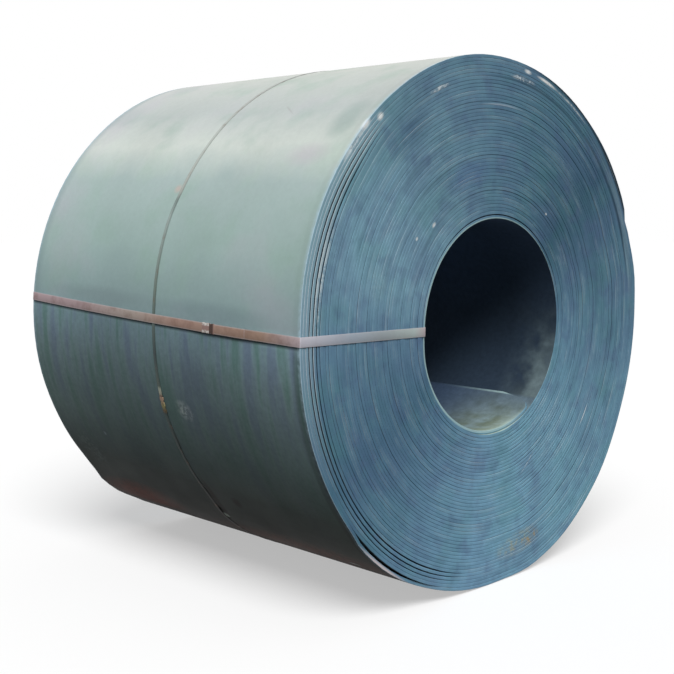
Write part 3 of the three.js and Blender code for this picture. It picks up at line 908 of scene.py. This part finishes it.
girthStrapFinish = {
    "top": [  # by how far it faces up, in degrees: painted light and shade as on the coil, darkest low down where it lies in shade
        (-45, "#181716"), (-35, "#1c2221"), (-18, "#4a5856"),
        (-14, "#88786a"), (-13, "#ccd4c0"), (-12, "#64706a"),  # rust and a rubbed spot beside the seal
        (-5, "#465456"), (8, "#788880"), (24, "#a0b0ac"), (28, "#80908c"), (30, "#acb2ac"),
        (42, "#bcc4be"), (60, "#b4b8b4"),
    ],
    "edgeShade": 0.75,
    "rust": "#7b6455",
    "ragged": 0.02,  # radians by which the spots shift the tones
    "spotSize": 30 * mm,
    "pitting": 0.2 * mm,
    "roughness": 0.6,
}

sealFinish = {
    "bare": "#dad6d0",
    "rust": "#9b8079",
    "crimp": "#3c2a22",
    "alongGirth": [  # from the lower end of the other seal to its upper end
        (0, "#4c4a40"), (0.2, "#685a42"), (0.45, "#949064"), (0.85, "#b09480"),
    ],
    "grain": 5 * mm,
    "pitting": 0.2 * mm,
}


# How far a point of a band lies from its middle line, 0 to 1, from the band's own layout.
def offMiddle(add, layout):
    across = add("Math", [layout.outputs["Y"], 0.5], operation="SUBTRACT")
    across = add("Math", [across], operation="ABSOLUTE")
    return add("Math", [across, 2], operation="MULTIPLY")


def closeBandMaterial(piece, material, add, skin, noise, roughness, pitting):
    bump = add("Bump", {"Height": noise, "Strength": 0.3, "Distance": pitting})
    shader = {"Base Color": skin, "Roughness": roughness, "Specular IOR Level": 0.15, "Normal": bump}
    add("OutputMaterial", {"Surface": add("BsdfPrincipled", shader)})
    giveMaterial(piece, material)


def finishEyeStrap(piece):
    # Bare cold-rolled steel strapping under a thin film of rust: matt pinkish brown, paler over the ends.
    material, add = newMaterial("rustFilmedStrapping")
    coords = add("TexCoord").outputs
    finish = eyeStrapFinish
    x, y, _ = add("SeparateXYZ", [coords["Object"]]).outputs
    layout = add("SeparateXYZ", [coords["UV"]])
    low, high = finish["barrelEnds"]
    barrel = add("ValToRGB", [add("MapRange", [x, low * mm, high * mm])])
    fillRamp(barrel, finish["alongBarrel"], low, high)
    low, high = finish["endReach"]
    end = add("ValToRGB", [add("MapRange", [y, -low * mm, -high * mm])])
    fillRamp(end, finish["overEnd"], low, high)
    facing = add("SeparateXYZ", [add("NewGeometry").outputs["Normal"]])
    endOn = add("Math", [facing.outputs["X"]], operation="ABSOLUTE")
    overEnd = add("MapRange", [endOn, 0.3, 0.8])
    skin = add("Mix", {0: overEnd, 6: barrel, 7: end}, data_type="RGBA")
    spots = {"Scale": 1 / finish["spotSize"], "Detail": 5, "Roughness": 0.65}
    spots = add("TexNoise", {"Vector": coords["Object"], **spots})
    rust = add("MapRange", [spots, 0.45, 0.75, 0, 0.5])
    onBarrel = add("MapRange", [endOn, 0.8, 0.3, 0.25])
    rust = add("Math", [rust, onBarrel], operation="MULTIPLY")
    skin = add("Mix", {0: rust, 6: skin, 7: finish["rustSpots"]}, data_type="RGBA")
    edge = add("MapRange", [offMiddle(add, layout), 0.72, 0.97, 0, 0.4])
    skin = add("Mix", {0: edge, 6: skin, 7: finish["rubbedEdge"]}, data_type="RGBA")
    closeBandMaterial(piece, material, add, skin, spots, finish["roughness"], finish["pitting"])


def finishGirthStrap(piece):
    # Strapping with a dark waxed skin, dulled on top by the same pale dust as the coil, with the coil's
    # painted light by tilt and painted shade at its edges.
    material, add = newMaterial("dustyWaxedStrappingPaintedLight")
    coords = add("TexCoord").outputs
    finish = girthStrapFinish
    z = add("SeparateXYZ", [coords["Object"]]).outputs["Z"]
    layout = add("SeparateXYZ", [coords["UV"]])
    height = add("Math", [z, axisHeight], operation="SUBTRACT")
    rise = add("Math", [height, 1 / barrelRadius], operation="MULTIPLY")
    tilt = add("Math", [rise], operation="ARCSINE")
    spots = {"Vector": coords["Object"], "Scale": 1 / finish["spotSize"], "Detail": 4}
    spots = add("TexNoise", spots)
    ragged = add("Math", [spots, finish["ragged"], tilt], operation="MULTIPLY_ADD")
    middle, quarter = finish["ragged"] / 2, math.pi / 2
    tiltPlace = add("MapRange", [ragged, middle - quarter, middle + quarter])
    top = add("ValToRGB", [tiltPlace])
    fillRamp(top, finish["top"], -90, 90)
    edge = add("VectorMath", {0: top, "Scale": finish["edgeShade"]}, operation="SCALE")
    # painted shade along the strap's edges, most on one side
    shaded = add("MapRange", [layout.outputs["Y"], 0.45, 0.7])
    other = add("MapRange", [layout.outputs["Y"], 0.2, 0.05, 0, 0.7])
    bare = add("Math", [shaded, other], operation="MAXIMUM")
    skin = add("Mix", {0: bare, 6: top, 7: edge}, data_type="RGBA")
    rust = add("MapRange", [spots, 0.55, 0.75, 0, 0.5])
    skin = add("Mix", {0: rust, 6: skin, 7: finish["rust"]}, data_type="RGBA")
    closeBandMaterial(piece, material, add, skin, spots, finish["roughness"], finish["pitting"])


def finishEyeStrapSeal(piece):
    # A crimped seal of the same strip: rubbed nearly bright along its folds, and dark across it near one end.
    material, add = newMaterial("rubbedSealSteel")
    coords = add("TexCoord").outputs
    layout = add("SeparateXYZ", [coords["UV"]])
    grain = add("TexNoise", {"Vector": coords["Object"], "Scale": 1 / sealFinish["grain"]})
    fold = add("MapRange", [offMiddle(add, layout), 0.12, 0.2])
    left = add("MapRange", [layout.outputs["X"], 0.66, 0.6])
    bare = add("Math", [fold, left], operation="MULTIPLY")
    broken = add("MapRange", [grain, 0.3, 0.5])
    bare = add("Math", [bare, broken], operation="MULTIPLY")
    skin = add("Mix", {0: bare, 6: sealFinish["rust"], 7: sealFinish["bare"]}, data_type="RGBA")
    toCrimp = add("Math", [layout.outputs["X"], 0.78], operation="SUBTRACT")
    toCrimp = add("Math", [toCrimp], operation="ABSOLUTE")
    crimp = add("MapRange", [toCrimp, 0.19, 0.14, 0, 0.9])
    skin = add("Mix", {0: crimp, 6: skin, 7: sealFinish["crimp"]}, data_type="RGBA")
    closeBandMaterial(piece, material, add, skin, grain, 0.5, sealFinish["pitting"])


def finishGirthStrapSeal(piece):
    # A crimped seal with yellow-brown rust and dirt, darker at its lower end.
    material, add = newMaterial("yellowRustedSealSteel")
    coords = add("TexCoord").outputs
    layout = add("SeparateXYZ", [coords["UV"]])
    grain = add("TexNoise", {"Vector": coords["Object"], "Scale": 1 / sealFinish["grain"]})
    skin = add("ValToRGB", [layout.outputs["X"]])
    fillRamp(skin, sealFinish["alongGirth"], 0, 1)
    dirt = add("MapRange", [grain, 0.5, 0.7, 0, 0.7])
    skin = add("Mix", {0: dirt, 6: skin, 7: sealFinish["crimp"]}, data_type="RGBA")
    closeBandMaterial(piece, material, add, skin, grain, 0.55, sealFinish["pitting"])


for make, dress, node, slot in (
    (makeEyeStrap, finishEyeStrap, "eye_strap", "rusted_strap"),
    (makeEyeStrapSeal, finishEyeStrapSeal, "eye_strap_seal", "seal_steel"),
    (makeGirthStrap, finishGirthStrap, "girth_strap", "dark_strap"),
    (makeGirthStrapSeal, finishGirthStrapSeal, "girth_strap_seal", "seal_steel"),
):
    piece = make()
    dress(piece)
    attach(piece, "root")
    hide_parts(node)
    print(piece.name, "made")


studio = {
    "floorSize": 80,
    "floorPaint": "#c4c4c4",
    "floorInBounce": "#5a5a5a",
    "floorGlow": 0.45,
    "ambient": 0.3,
    "sunPlace": (2.1, -1.8, 3.5),  # it shines from there towards the coil
    "sunSpread": 32,  # degrees across, as a wide soft box
    "sunStrength": 2.9,
}


def seenDirectly(add):
    rays = add("LightPath")
    seen = add("Math", [rays.outputs["Is Camera Ray"], rays.outputs["Is Glossy Ray"]])
    return add("Math", [seen, rays.outputs["Is Transmission Ray"]], use_clamp=True)


def makeFloor():
    startClean()
    bpy.ops.mesh.primitive_plane_add(size=studio["floorSize"])
    floor = bpy.context.object
    floor.name = "floor"
    material, add = newMaterial("paleFloorPaint")
    seen = seenDirectly(add)
    paint = add("Mix", {0: seen, 6: studio["floorInBounce"], 7: studio["floorPaint"]}, data_type="RGBA")
    diffuse = add("BsdfDiffuse", {"Color": paint})
    glow = add("Math", [seen, studio["floorGlow"]], operation="MULTIPLY")
    light = add("Emission", {"Strength": glow})
    both = add("AddShader", [diffuse, light])
    add("OutputMaterial", {"Surface": both})
    floor.data.materials.append(material)


def makeWorld():
    world = bpy.data.worlds.new("studioWorld")
    world.use_nodes = True
    world.node_tree.nodes.clear()
    add = partial(addNode, world)
    level = add("MapRange", [seenDirectly(add), 0, 1, studio["ambient"], 1])
    air = add("Background", {"Color": "#ffffff", "Strength": level})
    add("OutputWorld", {"Surface": air})
    bpy.context.scene.world = world


def makeSun():
    startClean()
    bpy.ops.object.light_add(type="SUN", location=studio["sunPlace"])
    lamp = bpy.context.object
    lamp.name = "softSun"
    lamp.data.angle = math.radians(studio["sunSpread"])
    lamp.data.energy = studio["sunStrength"]
    lamp.rotation_euler = Vector(studio["sunPlace"]).to_track_quat("Z", "Y").to_euler()


# The viewing angle and distance, measured round the middle of the coil.
view = {
    "azimuth": 45.064,
    "elevation": 6.277,
    "distance": 4.7346,
    "right": -0.0216,
    "up": -0.1,
    "lens": 62.016,
    "sensor": 36,
}


def makeCamera():
    azimuth = math.radians(view["azimuth"])
    elevation = math.radians(view["elevation"])
    level = math.cos(elevation)
    back = Vector((math.sin(azimuth) * level, -math.cos(azimuth) * level, math.sin(elevation)))
    right = Vector((math.cos(azimuth), math.sin(azimuth), 0))
    up = back.cross(right)
    startClean()
    spot = Vector((0, 0, axisHeight)) + back * view["distance"] + right * view["right"] + up * view["up"]
    bpy.ops.object.camera_add(location=spot, rotation=back.to_track_quat("Z", "Y").to_euler())
    camera = bpy.context.object
    camera.data.lens = view["lens"]
    camera.data.sensor_width = view["sensor"]
    bpy.context.scene.camera = camera


makeFloor()
makeWorld()
makeSun()
makeCamera()
bpy.context.scene.view_settings.view_transform = "Standard"
print("floor, light and camera placed")
